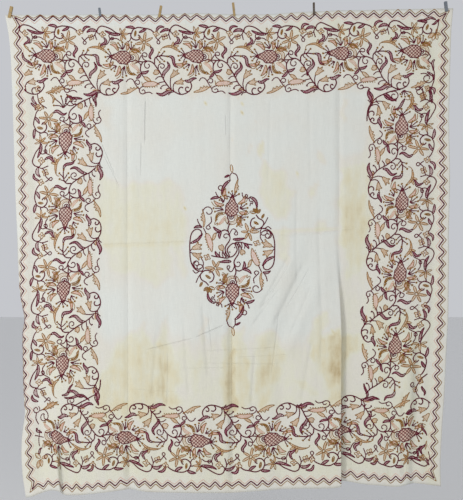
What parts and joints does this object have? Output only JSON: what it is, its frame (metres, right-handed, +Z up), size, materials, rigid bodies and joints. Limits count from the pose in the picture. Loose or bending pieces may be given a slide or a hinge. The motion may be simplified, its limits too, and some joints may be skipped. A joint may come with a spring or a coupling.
{
  "type": "crewel embroidery panel on clothes pegs",
  "caption": "Large cream cotton panel with a wool crewel border of pineapple heads and vines, a pointed centre medallion and zigzag edging, hung by its top edge from spring clothes pegs.",
  "frame": {"origin": "middle of the cloth's top edge", "axes": "+X to the right seen from the embroidered face, the embroidered face looks along -Y, +Z up"},
  "size_m": [2.321, 0.0615, 2.5713],
  "materials": {
    "cloth": "unbleached cotton, plain weave, tide-marked",
    "yarn_plum": "two-ply wool in chain stitch",
    "yarn_mauve": "two-ply wool in chain stitch",
    "yarn_gold": "two-ply wool in chain stitch",
    "yarn_peach": "two-ply wool in chain stitch",
    "yarn_ochre": "two-ply wool in chain stitch",
    "yarn_pink": "two-ply wool in chain stitch",
    "peg_wood": "bare beech, weathered",
    "peg_grey": "moulded plastic, matt",
    "peg_dark": "dark stained wood",
    "spring_steel": "drawn spring wire"
  },
  "bodies": {
    "root": {"cloth": "cloth", "peg_1_front": "peg_wood", "peg_1_back": "peg_wood", "peg_1_spring": "spring_steel", "peg_2_front": "peg_grey", "peg_2_back": "peg_grey", "peg_2_spring": "spring_steel", "peg_3_front": "peg_wood", "peg_3_back": "peg_wood", "peg_3_spring": "spring_steel", "peg_4_front": "peg_wood", "peg_4_back": "peg_wood", "peg_4_spring": "spring_steel", "peg_5_front": "peg_dark", "peg_5_back": "peg_dark", "peg_5_spring": "spring_steel", "peg_6_front": "peg_grey", "peg_6_back": "peg_grey", "peg_6_spring": "spring_steel"}
  },
  "joints": []
}
